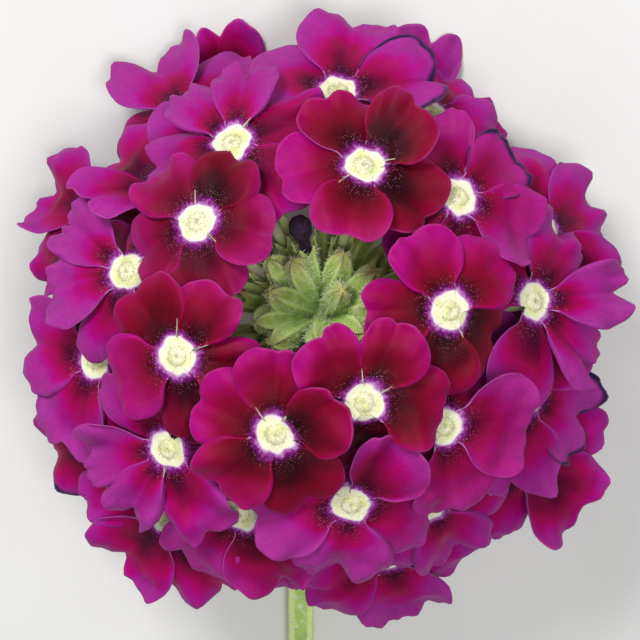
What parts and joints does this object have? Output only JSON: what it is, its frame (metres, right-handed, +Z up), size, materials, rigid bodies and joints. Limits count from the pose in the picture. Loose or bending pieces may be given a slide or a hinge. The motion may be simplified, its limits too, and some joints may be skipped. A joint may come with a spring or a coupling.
{
  "type": "verbena flower head",
  "caption": "Domed verbena flower head of notched magenta to crimson florets with white eyes round green ribbed calyces, on a bare cut stem, lying on its front petals and its stem.",
  "frame": {"origin": "under the middle of the bounding box, on the surface it lies on", "axes": "+Z up from the surface, +Y along the lying stem towards its cut end, the flower's face up and towards -Y"},
  "size_m": [0.0688, 0.1122, 0.0485],
  "materials": {
    "petal_crimson": "matte",
    "petal_magenta": "matte",
    "petal_purple": "matte",
    "bud_dark": "matte",
    "green": "matte"
  },
  "bodies": {
    "root": {"floret_01": "petal_crimson", "floret_02": "petal_crimson", "floret_03": "petal_crimson", "floret_04": "petal_crimson", "floret_05": "petal_crimson", "floret_06": "petal_crimson", "floret_07": "petal_magenta", "floret_08": "petal_magenta", "floret_09": "petal_magenta", "floret_10": "petal_magenta", "floret_11": "petal_purple", "floret_12": "petal_magenta", "floret_13": "petal_purple", "floret_14": "petal_magenta", "floret_15": "petal_purple", "floret_16": "petal_purple", "floret_17": "petal_purple", "floret_18": "petal_purple", "floret_19": "petal_purple", "floret_20": "petal_purple", "floret_21": "petal_purple", "floret_22": "petal_purple", "floret_23": "petal_purple", "floret_24": "petal_purple", "floret_25": "petal_purple", "floret_26": "petal_purple", "floret_27": "petal_purple", "floret_28": "petal_purple", "floret_29": "petal_purple", "floret_30": "petal_purple", "bud_01": "bud_dark", "stem_and_calyces": "green"}
  },
  "joints": []
}
